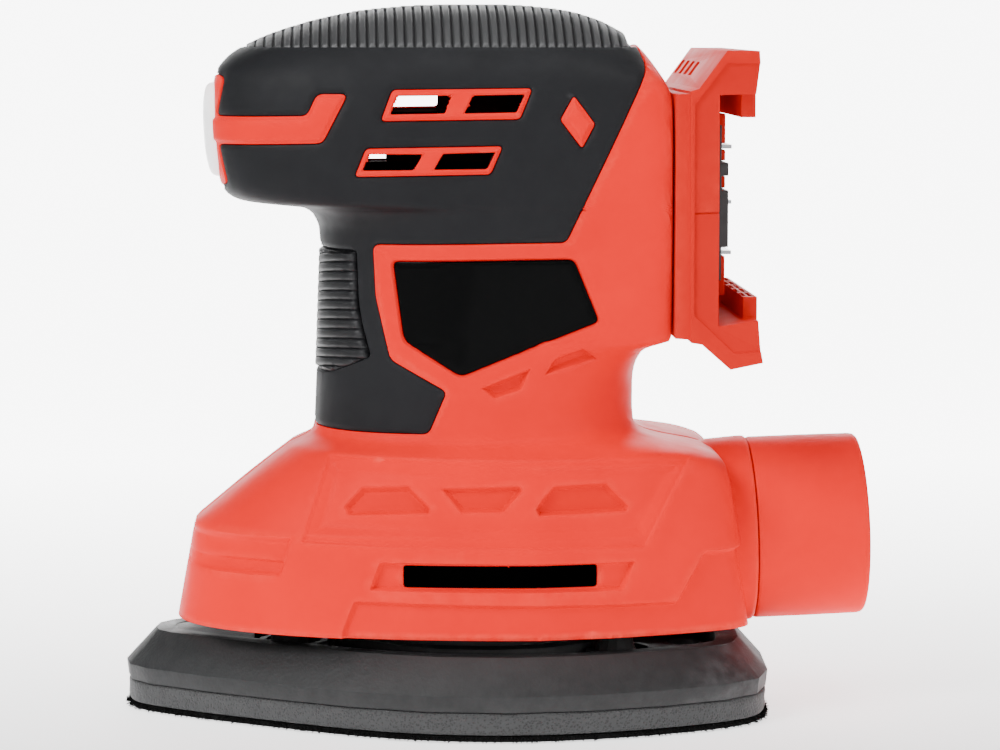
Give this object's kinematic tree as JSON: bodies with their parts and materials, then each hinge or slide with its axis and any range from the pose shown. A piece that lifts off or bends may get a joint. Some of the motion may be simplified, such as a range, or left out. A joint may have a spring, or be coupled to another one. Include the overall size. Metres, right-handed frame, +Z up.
{
  "type": "orbital sander",
  "caption": "Cordless palm detail sander: iron-shaped hook pad under a clamshell with a rocker switch, vented head, rear battery dock and round dust outlet; orbit drive inside.",
  "frame": {"origin": "on the drive axis, at the working face of the pad", "axes": "+X along the tool to the rear, where the dust outlet is, with the nose along -X; +Y across the tool to its right side; +Z up along the drive axis, away from the work"},
  "size_m": [0.1626, 0.097, 0.153],
  "materials": {
    "orange_plastic": "satin moulded orange-red",
    "soft_grip": "matte soft overmould, fine grain",
    "black_gloss": "gloss black",
    "black_plastic": "textured black",
    "clear_rubber": "translucent white",
    "grey_foam": "open-cell grey foam",
    "hook_fabric": "black hook fabric",
    "rubber": "matte",
    "steel": "bright",
    "dark_steel": "dull",
    "copper": "enamelled copper",
    "zinc": "die cast",
    "magnet": "sintered",
    "carbon": "pressed carbon",
    "board_green": "coated circuit board",
    "red_wire": "insulated wire",
    "black_wire": "insulated wire"
  },
  "bodies": {
    "tool_body": {"housing_left": "orange_plastic", "housing_right": "orange_plastic", "grip_cover_left": "soft_grip", "grip_cover_right": "soft_grip", "badge_left": "black_gloss", "badge_right": "black_gloss", "housing_screw_1": "steel", "housing_screw_2": "steel", "housing_screw_3": "steel", "housing_screw_4": "steel", "housing_screw_5": "steel", "housing_screw_6": "steel", "housing_screw_7": "steel", "base_cover": "black_plastic", "dust_seal": "rubber", "support_pillar_front_left": "rubber", "support_pillar_front_right": "rubber", "support_pillar_rear_left": "rubber", "support_pillar_rear_right": "rubber", "motor_can": "dark_steel", "motor_end_cap": "black_plastic", "motor_mount": "rubber", "magnet_left": "magnet", "magnet_right": "magnet", "brush_front": "carbon", "brush_rear": "carbon", "lower_bearing": "steel", "upper_bearing": "steel", "battery_dock": "orange_plastic", "terminal_block": "black_plastic", "terminal_positive": "steel", "terminal_sense": "steel", "terminal_negative": "steel", "switch_body": "black_plastic", "switch_boot": "clear_rubber", "control_board": "board_green", "battery_lead_positive": "red_wire", "battery_lead_negative": "black_wire", "motor_lead_positive": "red_wire", "motor_lead_negative": "black_wire", "switch_lead_positive": "red_wire", "switch_lead_negative": "black_wire"},
    "drive_shaft": {"motor_shaft": "steel", "rotor_core": "dark_steel", "rotor_windings": "copper", "commutator": "copper", "fan": "black_plastic", "eccentric": "zinc", "bearing_screw": "steel"},
    "pad": {"pad_plate": "black_plastic", "foam_pad": "grey_foam", "hook_pad": "hook_fabric", "eccentric_bearing": "steel"},
    "rocker": {"switch_rocker": "black_plastic"},
    "nozzle": {"dust_nozzle": "orange_plastic", "nozzle_seal": "rubber"}
  },
  "joints": [
    {"name": "shaft_spin", "type": "hinge", "parent": "tool_body", "child": "drive_shaft", "pos_m": [0, 0, 0.06], "axis": [0, 0, 1], "continuous": true},
    {"name": "pad_orbit", "type": "hinge", "parent": "drive_shaft", "child": "pad", "pos_m": [0.001, 0, 0.012], "axis": [0, 0, 1], "continuous": true},
    {"name": "switch_rock", "type": "hinge", "parent": "tool_body", "child": "rocker", "pos_m": [-0.0526, 0, 0.126], "axis": [0, 1, 0], "range_deg": [0, 16]},
    {"name": "nozzle_pull", "type": "slide", "parent": "tool_body", "child": "nozzle", "axis": [0.9994, 0, 0.0349], "range_m": [0, 0.015]}
  ],
  "couplings": [
    {"joint": "pad_orbit", "follows": "shaft_spin", "ratio": -1}
  ]
}
